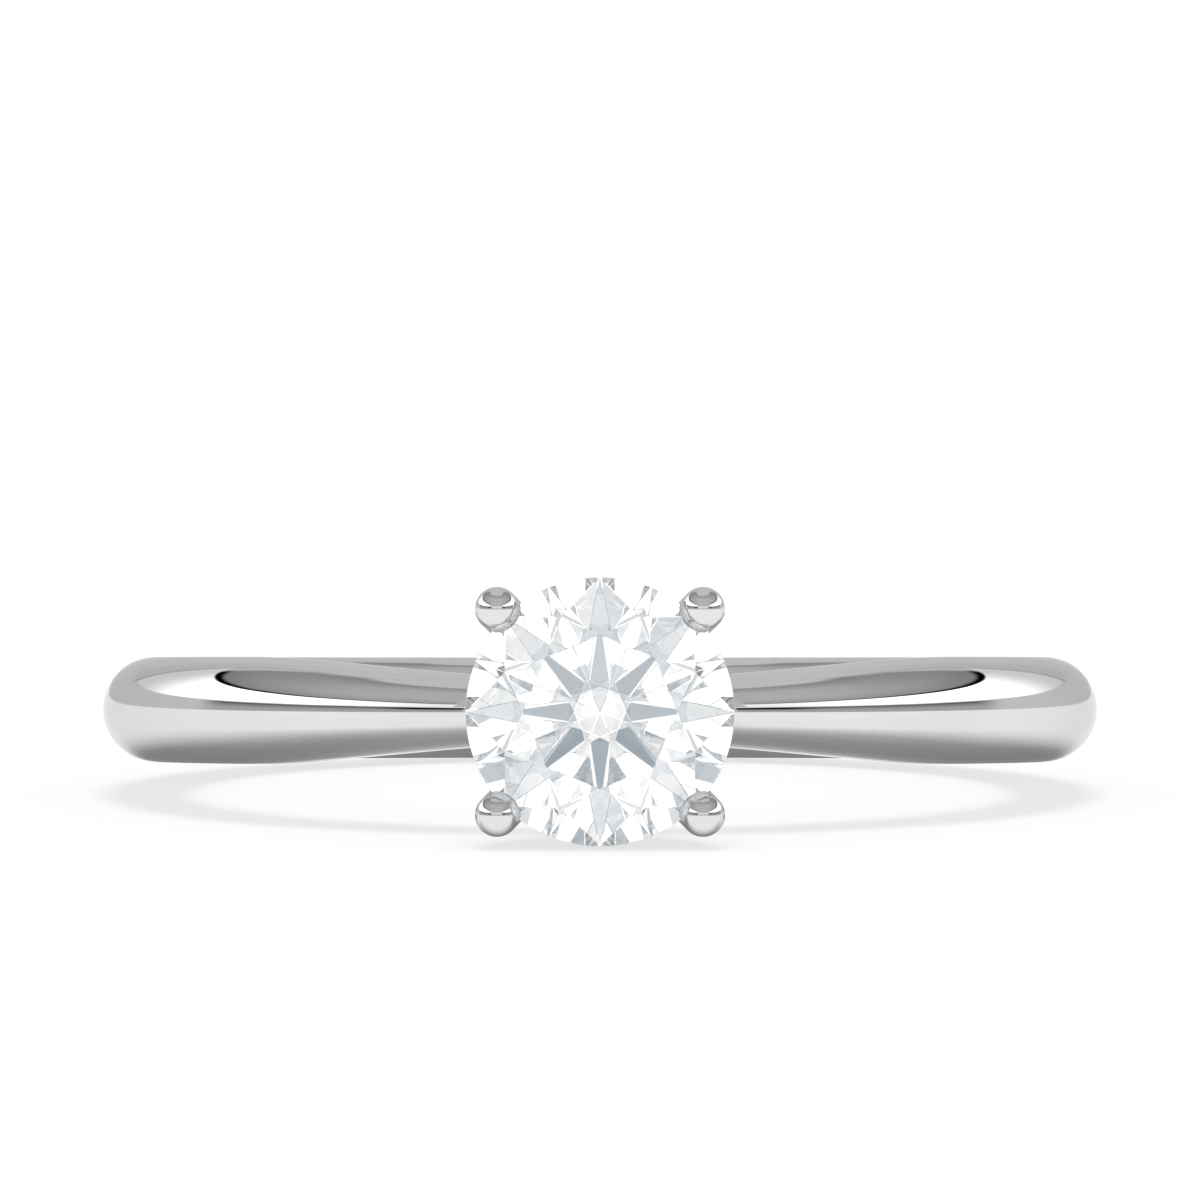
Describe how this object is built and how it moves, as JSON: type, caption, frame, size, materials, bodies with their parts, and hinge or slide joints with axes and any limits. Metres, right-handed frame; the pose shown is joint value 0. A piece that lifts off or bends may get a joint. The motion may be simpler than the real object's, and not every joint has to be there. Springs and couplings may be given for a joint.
{
  "type": "engagement ring",
  "caption": "Solitaire engagement ring: a domed band tapering to a claw head that holds a round brilliant stone.",
  "frame": {"origin": "centre of the finger bore, on its axis and halfway along it", "axes": "+Z along the finger bore, -Y from the bore towards the stone, +X along the band's side"},
  "size_m": [0.02, 0.0232, 0.0052],
  "materials": {
    "band_platinum": "polished",
    "head_platinum": "polished",
    "diamond": "polished"
  },
  "bodies": {
    "root": {"shank": "band_platinum", "base_cup": "head_platinum", "peg": "head_platinum", "gallery_rail": "head_platinum", "claw_upper_left": "head_platinum", "claw_upper_right": "head_platinum", "claw_lower_left": "head_platinum", "claw_lower_right": "head_platinum", "diamond": "diamond"}
  },
  "joints": []
}
